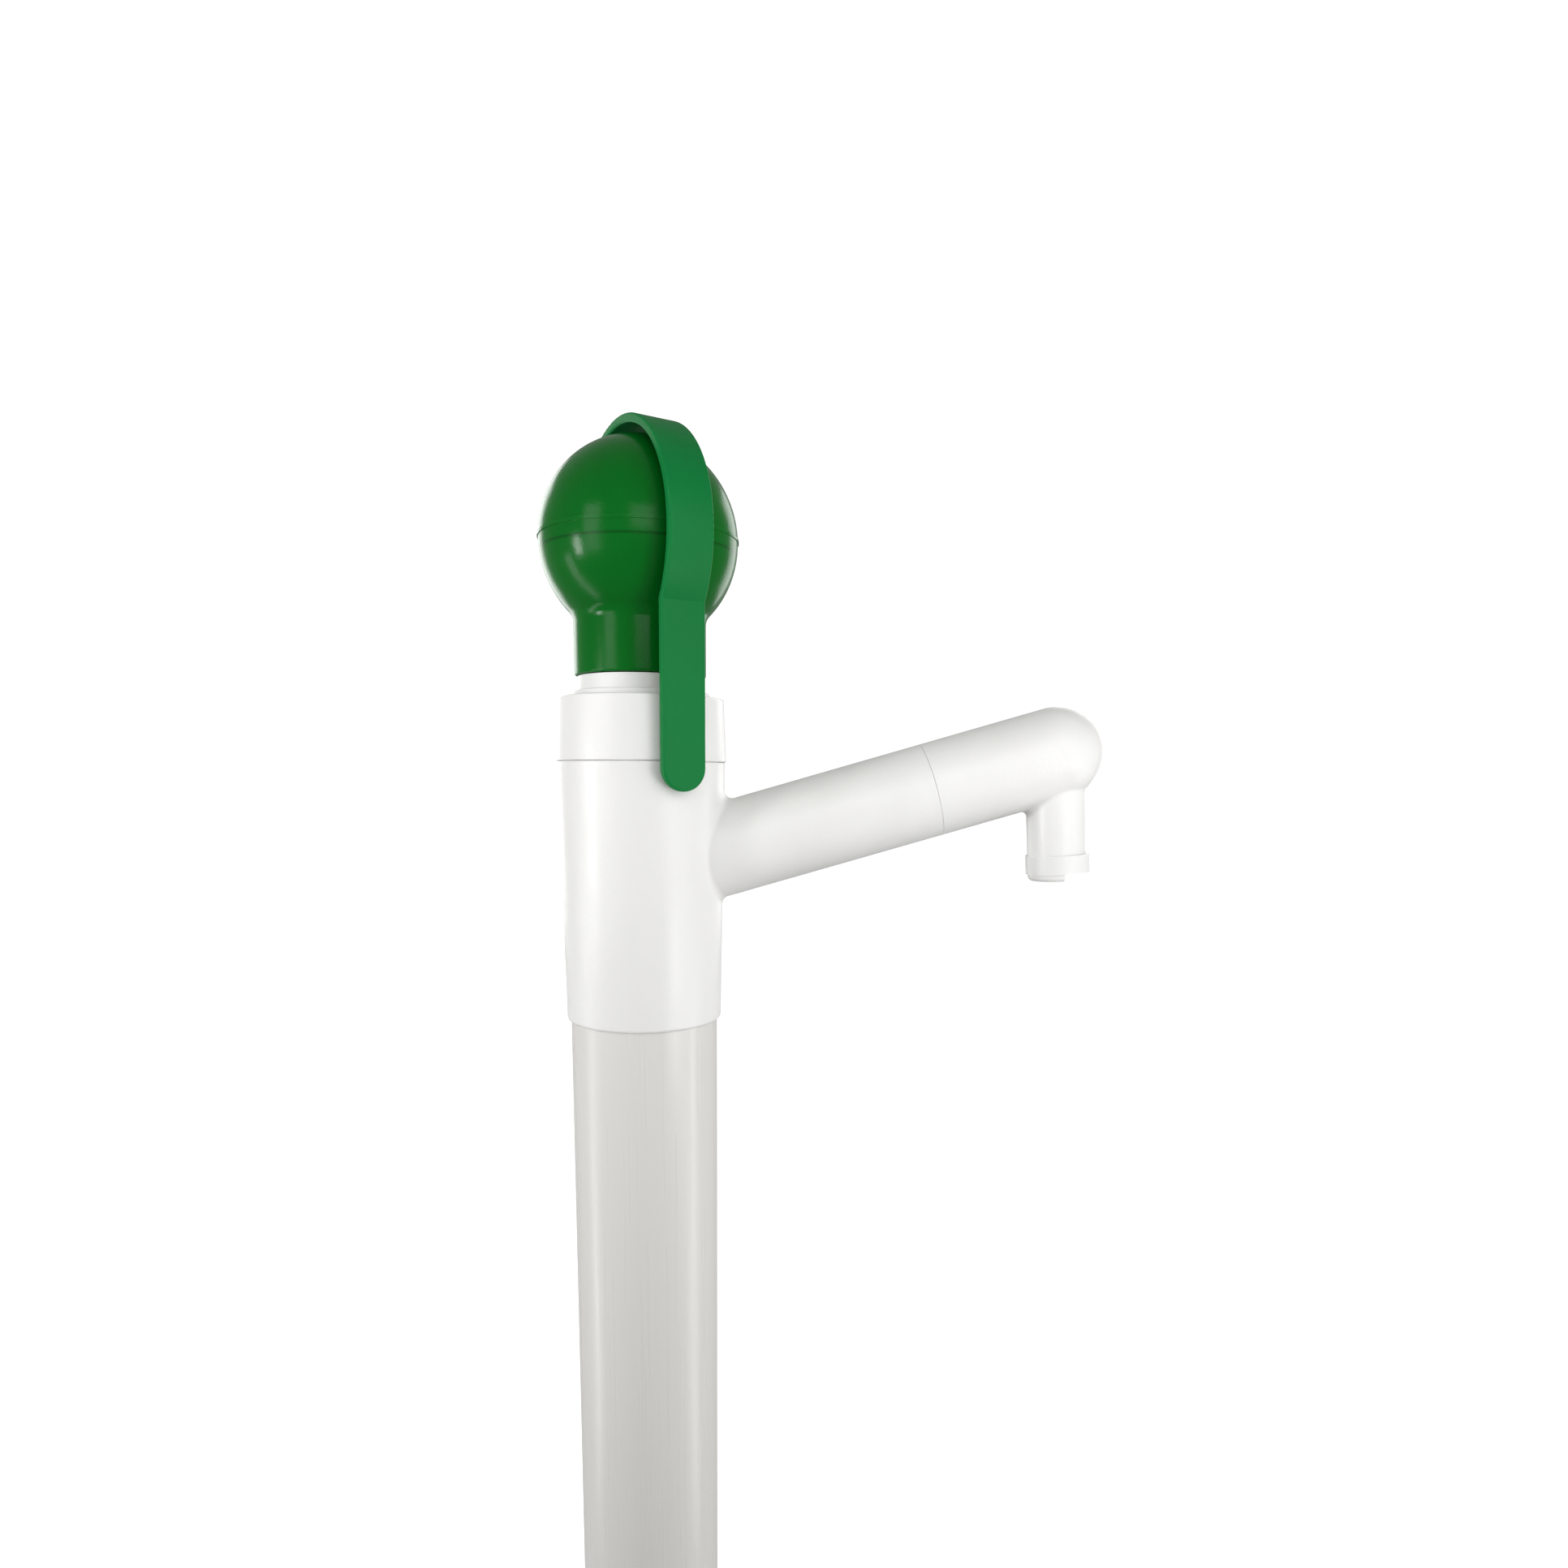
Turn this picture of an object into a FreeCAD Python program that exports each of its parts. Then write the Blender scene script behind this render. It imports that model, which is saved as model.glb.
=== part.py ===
import FreeCAD, Part
import math
import os

import Sketcher

# Direct-action hand well pump: a ball knob on a plunger rod lifts a piston in a plastic riser pipe.
# Origin: pump axis at the foot face. +Z runs up the pump axis and +X is the side of the spout.
# Lengths are in millimetres and angles in degrees.

DIMENSIONS = {
    # riser pipe
    "pipe_radius": 25.0,
    "pipe_bore": 23.2,
    "pipe_end_radius": 24.6,
    "pipe_foot": 42.0,
    "pipe_length": 750.0,
    # pump head
    "socket_depth": 40.0,
    "head_height": 87.0,
    "head_top_radius": 27.8,
    "head_foot_radius": 26.3,
    "head_bore": 22.4,
    "spigot_radius": 25.4,
    "spigot_height": 14.5,
    "glue_gap": 0.05,
    # spout
    "spout_rise": 16.4,
    "spout_height": 50.0,
    "spout_radius": 15.7,
    "spout_bore": 12.6,
    "spout_seam_reach": 97.0,
    "spout_end_reach": 139.0,
    "spout_spigot": 14.0,
    "spout_spigot_length": 16.0,
    "seam_gap": 0.1,
    "nozzle_tilt": 4.0,
    "nozzle_radius": 9.8,
    "nozzle_bore": 7.6,
    "nozzle_length": 39.0,
    "nozzle_blend": 2.0,
    "lip_radius": 10.7,
    "lip_offset": 0.3,
    "lip_height": 6.3,
    "mouth_height": 1.0,
    "drip_tab": 2.4,
    # gland
    "cap_height": 20.5,
    "cap_top_radius": 27.4,
    "cap_foot_radius": 28.2,
    "cap_plate": 4.5,
    "cap_thread_gap": 0.2,
    "bush_radius": 16.0,
    "bush_lip_radius": 22.5,
    "bush_lip": 2.0,
    "bush_neck_radius": 20.6,
    "bush_neck": 4.7,
    "seal_radius": 14.0,
    "seal_height": 3.0,
    # plunger
    "rod_radius": 10.0,
    "rod_bore": 8.0,
    "running_gap": 0.08,
    "piston_rest": 118.0,
    "piston_stroke": 300.0,
    "piston_radius": 22.7,
    "valve_lift": 6.0,
    # ball knob
    "rest_gap": 0.3,
    "neck_to_centre": 42.6,
    "ball_radius": 32.0,
    "ball_wall": 3.0,
    "neck_radius": 21.5,
    # handle clip
    "clip_azimuth": -60.0,
    "clip_gap": 4.0,
    "clip_drop": 2.0,
    "clip_thickness": 2.8,
    "clip_width": 14.6,
    "clip_reach": 30.0,
    "clip_tip": 79.5,
    "hinge_polar": 62.0,
    "eyelet_radius": 3.6,
    "eyelet_width": 10.0,
    "hinge_pin_radius": 1.5,
    # foot
    "foot_radius": 24.6,
}

document = FreeCAD.newDocument("HandWellPump")
sheet = document.addObject("Spreadsheet::Sheet", "Dimensions")


class Size:
    """A length or angle that holds its number and the spreadsheet expression that gives it."""

    def __init__(self, number, text):
        self.number = number
        self.text = text

    def joined(self, sign, other, number):
        right = other.text if isinstance(other, Size) else repr(float(other))
        return Size(number, f"({self.text} {sign} {right})")

    def __add__(self, other):
        return self.joined("+", other, self.number + number_of(other))

    def __sub__(self, other):
        return self.joined("-", other, self.number - number_of(other))

    def __mul__(self, other):
        return self.joined("*", other, self.number * number_of(other))

    def __truediv__(self, other):
        return self.joined("/", other, self.number / number_of(other))


def number_of(value):
    return value.number if isinstance(value, Size) else float(value)


def other_side(long_side, short_side):
    """The second short side of a right triangle: where a round outline meets a given radius."""
    number = math.sqrt(number_of(long_side) ** 2 - number_of(short_side) ** 2)
    long_text = f"({long_side.text})"
    short_text = f"({short_side.text})"
    return Size(number, f"sqrt({long_text} * {long_text} - {short_text} * {short_text})")


def sine(angle):
    return Size(math.sin(math.radians(angle.number)), f"sin({angle.text} * 1 deg)")


def cosine(angle):
    return Size(math.cos(math.radians(angle.number)), f"cos({angle.text} * 1 deg)")


def fill_sheet():
    for row, (alias, value) in enumerate(DIMENSIONS.items(), start=1):
        sheet.set(f"A{row}", alias)
        sheet.set(f"B{row}", str(value))
        sheet.setAlias(f"B{row}", alias)
    document.recompute()


fill_sheet()
size = {alias: Size(float(sheet.get(alias)), f"Dimensions.{alias}") for alias in DIMENSIONS}

# Heights up the pump, from the foot.
pipe_top = size["pipe_foot"] + size["pipe_length"]
head_foot = pipe_top - size["socket_depth"]
head_shoulder = head_foot + size["head_height"]
spigot_top = head_shoulder + size["spigot_height"]
cap_top = head_shoulder + size["cap_height"]
cap_plate_foot = cap_top - size["cap_plate"]
bush_lip_top = cap_top + size["bush_lip"]
bush_top = bush_lip_top + size["bush_neck"]
knob_foot = bush_top + size["rest_gap"]
ball_centre = knob_foot + size["neck_to_centre"]
ball_inner = size["ball_radius"] - size["ball_wall"]

# The clip's arc is centred a little below the ball, so that it passes closer to the crown than to the side.
# Its hinge is behind the crown, half way through the clip's thickness.
clip_centre = ball_centre - size["clip_drop"]
clip_inner = size["ball_radius"] + size["clip_gap"]
clip_outer = clip_inner + size["clip_thickness"]
clip_middle = clip_inner + size["clip_thickness"] / 2
hinge_back = clip_middle * sine(size["hinge_polar"])
hinge_height = clip_centre + clip_middle * cosine(size["hinge_polar"])

parts = []


def keep(part, label):
    """Name a finished sub-part and add it to those that are written out."""
    part.Label = label
    parts.append(part)
    return part


def origin_plane(body, role):
    return next(feature for feature in body.Origin.OriginFeatures if feature.Role == role)


def new_body(name):
    return document.addObject("PartDesign::Body", name)


def new_sketch(body, name, plane="XZ_Plane"):
    sketch = body.newObject("Sketcher::SketchObject", name)
    sketch.AttachmentSupport = [(origin_plane(body, plane), "")]
    sketch.MapMode = "FlatFace"
    return sketch


def bind(sketch, kind, references, value):
    """Add a dimension to a sketch and bind it to the spreadsheet."""
    index = sketch.addConstraint(Sketcher.Constraint(kind, *references, number_of(value)))
    if isinstance(value, Size):
        sketch.setExpression(f"Constraints[{index}]", value.text)


def draw_outline(sketch, points):
    """Draw a closed outline. A point is (across, up), or (across, up, centre height, turn) where
    an arc about a centre on the upright axis leads on to the next point, turning up or down."""
    corners = [FreeCAD.Vector(number_of(point[0]), number_of(point[1]), 0) for point in points]
    starts = []
    for index, point in enumerate(points):
        start = corners[index]
        end = corners[(index + 1) % len(corners)]
        if len(point) == 2:
            line = sketch.addGeometry(Part.LineSegment(start, end))
            starts.append((line, 1, 2))
            continue
        centre = FreeCAD.Vector(0, number_of(point[2]), 0)
        upward = point[3] == "up"
        first, last = (start, end) if upward else (end, start)
        circle = Part.Circle(centre, FreeCAD.Vector(0, 0, 1), (start - centre).Length)
        first_angle = math.atan2(first.y - centre.y, first.x)
        last_angle = math.atan2(last.y - centre.y, last.x)
        arc = sketch.addGeometry(Part.ArcOfCircle(circle, first_angle, last_angle))
        starts.append((arc, 1, 2) if upward else (arc, 2, 1))
        bind(sketch, "DistanceY", (-1, 1, arc, 3), point[2])
        sketch.addConstraint(Sketcher.Constraint("PointOnObject", arc, 3, -2))
    for index, (edge, _, finish) in enumerate(starts):
        following, begin, _ = starts[(index + 1) % len(starts)]
        sketch.addConstraint(Sketcher.Constraint("Coincident", edge, finish, following, begin))
    for index, point in enumerate(points):
        edge, begin, _ = starts[index]
        # The radius of an arc is set at its start, so its end needs only one of the two distances.
        ends_arc = len(points[index - 1]) > 2
        on_axis = number_of(point[0]) == 0
        if on_axis:
            sketch.addConstraint(Sketcher.Constraint("PointOnObject", edge, begin, -2))
        elif not ends_arc:
            bind(sketch, "DistanceX", (-1, 1, edge, begin), point[0])
        if ends_arc and on_axis:
            continue
        if number_of(point[1]) == 0:
            sketch.addConstraint(Sketcher.Constraint("PointOnObject", edge, begin, -1))
        else:
            bind(sketch, "DistanceY", (-1, 1, edge, begin), point[1])


def turned_body(name, points):
    """A body turned about the pump axis from an outline of (radius, height) points."""
    body = new_body(name)
    sketch = new_sketch(body, name + "Outline")
    draw_outline(sketch, points)
    revolution = body.newObject("PartDesign::Revolution", name + "Turned")
    revolution.Profile = sketch
    revolution.ReferenceAxis = (sketch, ["V_Axis"])
    revolution.Angle = 360
    document.recompute()
    return body


def turned(label, points):
    return keep(turned_body(label, points), label)


def ring(label, outer, inner, foot, top):
    return turned(label, [(inner, foot), (outer, foot), (outer, top), (inner, top)])


def round_circles(body, radius, heights, label):
    """Round the circular edges of a body that lie at the given (radius, height) places."""
    document.recompute()
    tip = body.Tip
    chosen = []
    for index, edge in enumerate(tip.Shape.Edges, start=1):
        if not isinstance(edge.Curve, Part.Circle):
            continue
        for edge_radius, height in heights:
            same_radius = abs(edge.Curve.Radius - number_of(edge_radius)) < 1e-3
            same_height = abs(edge.Curve.Center.z - number_of(height)) < 1e-3
            if same_radius and same_height:
                chosen.append(f"Edge{index}")
    fillet = body.newObject("PartDesign::Fillet", label)
    fillet.Base = (tip, chosen)
    fillet.Radius = radius
    document.recompute()


def primitive(kind, name, place, **sizes):
    """A Part primitive whose sizes are bound to the spreadsheet."""
    shape = document.addObject(f"Part::{kind}", name)
    for property_name, value in sizes.items():
        setattr(shape, property_name, number_of(value))
        if isinstance(value, Size):
            shape.setExpression(property_name, value.text)
    shape.Placement = place
    return shape


def at_height(height, turn=FreeCAD.Rotation()):
    return FreeCAD.Placement(FreeCAD.Vector(0, 0, number_of(height)), turn)


def fuse(name, shapes):
    fused = document.addObject("Part::MultiFuse", name)
    fused.Shapes = shapes
    fused.Refine = True
    return fused


def cut(name, base, tool):
    result = document.addObject("Part::Cut", name)
    result.Base = base
    result.Tool = tool
    result.Refine = True
    return result


def cut_holes(body, label, circles, count=1):
    """Cut round holes of (distance from the axis, hole radius) up through a turned body."""
    document.recompute()
    sketch = new_sketch(body, label + "Circles", "XY_Plane")
    for distance, radius in circles:
        centre = FreeCAD.Vector(number_of(distance), 0, 0)
        circle = Part.Circle(centre, FreeCAD.Vector(0, 0, 1), number_of(radius))
        index = sketch.addGeometry(circle)
        bind(sketch, "DistanceX", (-1, 1, index, 3), distance)
        sketch.addConstraint(Sketcher.Constraint("PointOnObject", index, 3, -1))
        bind(sketch, "Radius", (index,), radius)
    volume = body.Shape.Volume
    pocket = body.newObject("PartDesign::Pocket", label)
    pocket.Profile = sketch
    pocket.Type = 1
    pocket.Midplane = True
    document.recompute()
    repeat(body, pocket, label + "Round", count)
    if body.Shape.Volume > volume - 1:
        raise RuntimeError(f"{label} cuts nothing")


def repeat(body, feature, label, count):
    """Repeat a feature evenly about the pump axis."""
    if count == 1:
        return
    pattern = body.newObject("PartDesign::PolarPattern", label)
    pattern.Originals = [feature]
    pattern.Axis = (origin_plane(body, "Z_Axis"), [""])
    pattern.Angle = 360
    pattern.Occurrences = count
    body.Tip = pattern
    document.recompute()


# ---------------------------------------------------------------- riser pipe and head

def riser_pipe():
    """The pipe between the foot valve and the head, turned down where it is glued into the head."""
    return turned("riser_pipe", [
        (size["pipe_bore"], size["pipe_foot"]),
        (size["pipe_radius"], size["pipe_foot"]),
        (size["pipe_radius"], head_foot),
        (size["pipe_end_radius"], head_foot),
        (size["pipe_end_radius"], pipe_top),
        (size["pipe_bore"], pipe_top),
    ])


def spout_turn():
    """Turns the +Z axis into the direction in which the spout rises."""
    return FreeCAD.Rotation(FreeCAD.Vector(0, 1, 0), 90 - number_of(size["spout_rise"]))


spout_root = head_foot + size["spout_height"]
seam_along = size["spout_seam_reach"] / cosine(size["spout_rise"])
end_along = size["spout_end_reach"] / cosine(size["spout_rise"])


def spout_point(along):
    """The point on the spout's centre line at a distance from the pump axis, along the spout."""
    rise = math.radians(number_of(size["spout_rise"]))
    distance = number_of(along)
    height = number_of(spout_root) + distance * math.sin(rise)
    return FreeCAD.Vector(distance * math.cos(rise), 0, height)


def head_roundings(shape):
    """The numbers and radii of the head's rounded edges: its foot, its shoulder and the spout's root."""
    foot_rounding = 1.2
    shoulder_rounding = 0.5
    root_blend = 2.5
    rounded = []
    for index, edge in enumerate(shape.Edges, start=1):
        box = edge.BoundBox
        round_the_spout = box.YLength > number_of(size["spout_radius"])
        if box.ZMax < number_of(head_foot) + 0.01:
            rounded.append((index, foot_rounding, foot_rounding))
        elif box.ZMin > number_of(head_shoulder) - 0.01:
            rounded.append((index, shoulder_rounding, shoulder_rounding))
        elif round_the_spout and box.XMax < number_of(size["head_top_radius"]) + 1:
            rounded.append((index, root_blend, root_blend))
    return rounded


def head_body():
    """The moulded head: a tapered barrel, a threaded spigot for the cap and the spout's branch."""
    barrel = primitive("Cone", "HeadBarrel", at_height(head_foot), Radius1=size["head_foot_radius"],
                       Radius2=size["head_top_radius"], Height=size["head_height"])
    branch = primitive("Cylinder", "HeadBranch", at_height(spout_root, spout_turn()),
                       Radius=size["spout_radius"], Height=seam_along)
    outside = fuse("HeadOutside", [barrel, branch])
    document.recompute()

    blend = document.addObject("Part::Fillet", "HeadBlend")
    blend.Base = outside
    blend.Edges = head_roundings(outside.Shape)

    spigot = primitive("Cylinder", "HeadSpigot", at_height(head_shoulder - 1), Radius=size["spigot_radius"],
                       Height=size["spigot_height"] + 1)
    solid = fuse("HeadSolid", [blend, spigot])
    socket = primitive("Cylinder", "HeadSocket", at_height(head_foot - 1),
                       Radius=size["pipe_end_radius"] + size["glue_gap"], Height=size["socket_depth"] + 1)
    bore = primitive("Cylinder", "HeadBore", at_height(head_foot), Radius=size["head_bore"],
                     Height=size["head_height"] + size["spigot_height"] + 1)
    waterway = primitive("Cylinder", "HeadWaterway", at_height(spout_root, spout_turn()),
                         Radius=size["spout_bore"], Height=seam_along + 1)
    seat_foot = seam_along - size["spout_spigot_length"]
    seat = primitive("Cylinder", "HeadBranchSocket",
                     FreeCAD.Placement(spout_point(seat_foot), spout_turn()),
                     Radius=size["spout_spigot"] + size["glue_gap"], Height=size["spout_spigot_length"] + 1)
    hollow = fuse("HeadHollow", [socket, bore, waterway, seat])
    return keep(cut("HeadBody", solid, hollow), "head_body")


def nozzle_turn():
    """Turns the +Z axis into the nozzle's direction: down, and a little outward."""
    return FreeCAD.Rotation(FreeCAD.Vector(0, 1, 0), 180 - number_of(size["nozzle_tilt"]))


def along_nozzle(distance):
    """The place on the nozzle's centre line at a distance from the knuckle's centre."""
    direction = nozzle_turn().multVec(FreeCAD.Vector(0, 0, 1))
    return FreeCAD.Placement(spout_point(end_along) + direction * number_of(distance), nozzle_turn())


def nozzle_root_edges(shape):
    """The numbers of the edges where the nozzle leaves the tube and the knuckle."""
    start = along_nozzle(0).Base
    direction = along_nozzle(1).Base - start
    root_depth = number_of(size["nozzle_length"]) / 2
    chosen = []
    for index, edge in enumerate(shape.Edges, start=1):
        offsets = [vertex.Point - start for vertex in edge.Vertexes]
        depths = [offset.dot(direction) for offset in offsets]
        reaches = [(offset - direction * depth).Length for offset, depth in zip(offsets, depths)]
        on_nozzle = all(abs(reach - number_of(size["nozzle_radius"])) < 0.01 for reach in reaches)
        if on_nozzle and max(depths) < root_depth:
            chosen.append(index)
    return chosen


def spout_elbow():
    """The spout's outer piece: a tube that ends in a round knuckle, with the nozzle turned down."""
    knuckle_place = FreeCAD.Placement(spout_point(end_along), spout_turn())
    tube_foot = seam_along + size["seam_gap"]
    tube = primitive("Cylinder", "ElbowTube", FreeCAD.Placement(spout_point(tube_foot), spout_turn()),
                     Radius=size["spout_radius"], Height=end_along - tube_foot)
    knuckle = primitive("Sphere", "ElbowKnuckle", knuckle_place, Radius=size["spout_radius"])
    nozzle = primitive("Cylinder", "ElbowNozzle", along_nozzle(0), Radius=size["nozzle_radius"],
                       Height=size["nozzle_length"])
    shell = fuse("ElbowShell", [tube, knuckle, nozzle])
    document.recompute()
    blend = document.addObject("Part::Fillet", "ElbowBlend")
    blend.Base = shell
    blend_radius = number_of(size["nozzle_blend"])
    blend.Edges = [(index, blend_radius, blend_radius) for index in nozzle_root_edges(shell.Shape)]

    spigot_foot = seam_along - size["spout_spigot_length"] + 0.5
    spigot = primitive("Cylinder", "ElbowSpigot", FreeCAD.Placement(spout_point(spigot_foot), spout_turn()),
                       Radius=size["spout_spigot"], Height=size["spout_spigot_length"])
    solid = fuse("ElbowSolid", [blend, spigot])
    waterway_place = FreeCAD.Placement(spout_point(spigot_foot - 1), spout_turn())
    waterway = primitive("Cylinder", "ElbowWaterway", waterway_place,
                         Radius=size["spout_bore"], Height=end_along - spigot_foot + 1)
    pocket = primitive("Sphere", "ElbowPocket", knuckle_place, Radius=size["spout_bore"])
    outlet = primitive("Cylinder", "ElbowOutlet", along_nozzle(0), Radius=size["nozzle_bore"],
                       Height=size["nozzle_length"] + 1)
    hollow = fuse("ElbowHollow", [waterway, pocket, outlet])
    return keep(cut("SpoutElbow", solid, hollow), "spout_elbow")


def pump_side_of(solid, from_distance, height):
    """The half of a round solid on the nozzle that faces the pump."""
    reach = number_of(size["lip_radius"]) + 1
    place = along_nozzle(from_distance)
    corner = FreeCAD.Vector(0, -reach, 0)
    box = primitive("Box", "DripTabSide", FreeCAD.Placement(place.multVec(corner), place.Rotation),
                    Length=reach, Width=reach * 2, Height=height)
    half = document.addObject("Part::Common", "DripTab")
    half.Base = solid
    half.Tool = box
    return half


def far_rim_edge(shape, start):
    """The number of the round edge of a nozzle cylinder that is furthest from its start."""
    distances = {}
    for index, edge in enumerate(shape.Edges, start=1):
        if isinstance(edge.Curve, Part.Circle):
            distances[index] = (edge.Curve.Center - start.Base).Length
    return max(distances, key=distances.get)


def outlet_ring():
    """The mouthpiece on the nozzle: a lip that stands out on the outer side, and a round drip tab on
    the pump's side."""
    mouth_end = size["nozzle_length"] + size["mouth_height"]
    lip_start = mouth_end - size["lip_height"]
    tab_length = size["mouth_height"] + size["drip_tab"]
    tab_rounding = 1.6
    outward = FreeCAD.Placement(FreeCAD.Vector(-number_of(size["lip_offset"]), 0, 0), FreeCAD.Rotation())
    lip = primitive("Cylinder", "MouthLip", along_nozzle(lip_start).multiply(outward),
                    Radius=size["lip_radius"], Height=size["lip_height"])
    tab_place = along_nozzle(size["nozzle_length"])
    tab = primitive("Cylinder", "MouthTab", tab_place, Radius=size["nozzle_radius"], Height=tab_length)
    document.recompute()
    round_tab = document.addObject("Part::Fillet", "MouthTabRound")
    round_tab.Base = tab
    round_tab.Edges = [(far_rim_edge(tab.Shape, tab_place), tab_rounding, tab_rounding)]
    drip_tab = pump_side_of(round_tab, size["nozzle_length"], tab_length)
    solid = fuse("MouthSolid", [lip, drip_tab])
    seat = primitive("Cylinder", "MouthSeat", along_nozzle(lip_start - 1),
                     Radius=size["nozzle_radius"] + 0.02, Height=size["nozzle_length"] - lip_start + 1)
    hole = primitive("Cylinder", "MouthHole", along_nozzle(lip_start - 1), Radius=size["nozzle_bore"],
                     Height=size["lip_height"] + size["drip_tab"] + 2)
    hollow = fuse("MouthHollow", [seat, hole])
    return keep(cut("OutletRing", solid, hollow), "outlet_ring")


# ---------------------------------------------------------------- gland

def gland_cap():
    skirt_bore = size["spigot_radius"] + size["cap_thread_gap"]
    cap_foot = head_shoulder + 0.06
    plate_hole = size["bush_radius"] + size["glue_gap"]
    body = turned_body("gland_cap", [
        (skirt_bore, cap_foot),
        (size["cap_foot_radius"], cap_foot),
        (size["cap_top_radius"], cap_top),
        (plate_hole, cap_top),
        (plate_hole, cap_plate_foot),
        (skirt_bore, cap_plate_foot),
    ])
    edges = [(size["cap_top_radius"], cap_top), (size["cap_foot_radius"], cap_foot)]
    round_circles(body, 0.5, edges, "GlandCapEdges")
    return keep(body, "gland_cap")


def gland_gasket():
    return ring("gland_gasket", size["spigot_radius"], size["bush_radius"] + 1.0, spigot_top, cap_plate_foot)


def guide_bush():
    """The bush that guides the rod. Its neck stands on the cap, under the knob."""
    rod_hole = size["rod_radius"] + size["running_gap"]
    foot = head_shoulder + 1.0
    lower_seat = foot + size["seal_height"] + 1.5
    upper_seat = bush_top - size["seal_height"]
    body = turned_body("guide_bush", [
        (size["seal_radius"], foot),
        (size["bush_radius"], foot),
        (size["bush_radius"], cap_top),
        (size["bush_lip_radius"], cap_top),
        (size["bush_lip_radius"], bush_lip_top),
        (size["bush_neck_radius"], bush_lip_top),
        (size["bush_neck_radius"], bush_top),
        (size["seal_radius"], bush_top),
        (size["seal_radius"], upper_seat),
        (rod_hole, upper_seat),
        (rod_hole, lower_seat),
        (size["seal_radius"], lower_seat),
    ])
    round_circles(body, 0.5, [(size["bush_lip_radius"], bush_lip_top)], "GuideBushEdge")
    return keep(body, "guide_bush")


def rod_wiper():
    seal_bore = size["rod_radius"] + size["running_gap"]
    return ring("rod_wiper", size["seal_radius"], seal_bore, bush_top - size["seal_height"], bush_top)


def rod_seal():
    seal_bore = size["rod_radius"] + size["running_gap"]
    foot = head_shoulder + 2.5
    return ring("rod_seal", size["seal_radius"], seal_bore, foot, foot + size["seal_height"])


def seal_retainer():
    foot = head_shoulder + 1.0
    return ring("seal_retainer", size["seal_radius"], size["rod_radius"] + 0.6, foot, foot + 1.5)


def bush_circlip():
    """The spring ring under the cap's plate that holds the bush down."""
    top = cap_plate_foot - 1.6
    return ring("bush_circlip", size["bush_radius"] + 0.9, size["bush_radius"], top - 1.2, top)


# ---------------------------------------------------------------- plunger

piston_foot = size["piston_rest"]
piston_plate_top = piston_foot + 6.0
valve_disc_foot = piston_plate_top
valve_disc_top = valve_disc_foot + 2.5
stud_collar = 2.0
valve_stop_gap = 0.2
rod_foot = valve_disc_top + size["valve_lift"] + valve_stop_gap + stud_collar
rod_top = knob_foot + 34.6
stud_radius = 5.0


def plunger_rod():
    return ring("plunger_rod", size["rod_radius"], size["rod_bore"], rod_foot, rod_top)


def rod_foot_stud():
    """The threaded stud bonded in the rod's foot, which carries the piston."""
    return turned("rod_foot_stud", [
        (0, piston_foot - 16.0),
        (stud_radius, piston_foot - 16.0),
        (stud_radius, rod_foot - stud_collar),
        (size["rod_radius"], rod_foot - stud_collar),
        (size["rod_radius"], rod_foot),
        (size["rod_bore"], rod_foot),
        (size["rod_bore"], rod_foot + 24.0),
        (0, rod_foot + 24.0),
    ])


def rod_top_insert():
    """The threaded insert bonded in the rod's top, which takes the knob's bolt."""
    return ring("rod_top_insert", size["rod_bore"], 3.0, rod_top - 24.0, rod_top)


def rod_stop():
    """The collar on the rod that ends the up stroke against the gland."""
    top = head_shoulder + 1.0 - size["piston_stroke"] - 3.0
    return ring("rod_stop", 15.0, size["rod_radius"], top - 10.0, top)


def rod_bumper():
    top = head_shoulder + 1.0 - size["piston_stroke"] - 0.3
    return ring("rod_bumper", 14.0, size["rod_radius"], top - 2.7, top)


def piston_plate():
    """The piston's plate, with a ring of ports that the valve disc closes."""
    seal_groove = size["piston_radius"] - 3.2
    body = turned_body("piston_plate", [
        (stud_radius, piston_foot),
        (seal_groove, piston_foot),
        (seal_groove, piston_foot + 3.5),
        (size["piston_radius"], piston_foot + 3.5),
        (size["piston_radius"], piston_plate_top),
        (stud_radius, piston_plate_top),
    ])
    cut_holes(body, "PistonPorts", [(12.0, 3.2)], 6)
    return keep(body, "piston_plate")


def piston_seal():
    """The cup seal below the plate's rim: its lip runs on the pipe's bore."""
    lip_radius = size["pipe_bore"] - size["running_gap"]
    return turned("piston_seal", [
        (size["piston_radius"] - 3.2, piston_foot - 1.5),
        (size["piston_radius"] - 1.0, piston_foot - 4.0),
        (lip_radius, piston_foot - 4.0),
        (lip_radius, piston_foot + 3.5),
        (size["piston_radius"] - 3.2, piston_foot + 3.5),
    ])


def piston_follower():
    """The clamping plate that holds the cup seal up against the piston's plate."""
    body = turned_body("piston_follower", [
        (stud_radius, piston_foot - 4.0),
        (size["piston_radius"] - 3.2, piston_foot - 4.0),
        (size["piston_radius"] - 3.2, piston_foot),
        (stud_radius, piston_foot),
    ])
    cut_holes(body, "FollowerPorts", [(12.0, 3.2)], 6)
    return keep(body, "piston_follower")


def hexagon_nut(label, across_corners, bore, foot, thickness):
    """A hexagon nut on the pump axis."""
    hexagon = primitive("Prism", label + "Hexagon", at_height(foot), Circumradius=across_corners,
                        Height=thickness)
    hexagon.Polygon = 6
    hole = primitive("Cylinder", label + "Hole", at_height(foot - 1), Radius=bore, Height=thickness + 2)
    return keep(cut(label + "Nut", hexagon, hole), label)


def piston_washer():
    return ring("piston_washer", 8.5, stud_radius, piston_foot - 5.5, piston_foot - 4.0)


def piston_nut():
    return hexagon_nut("piston_nut", 8.2, stud_radius, piston_foot - 12.5, 7.0)


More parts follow.
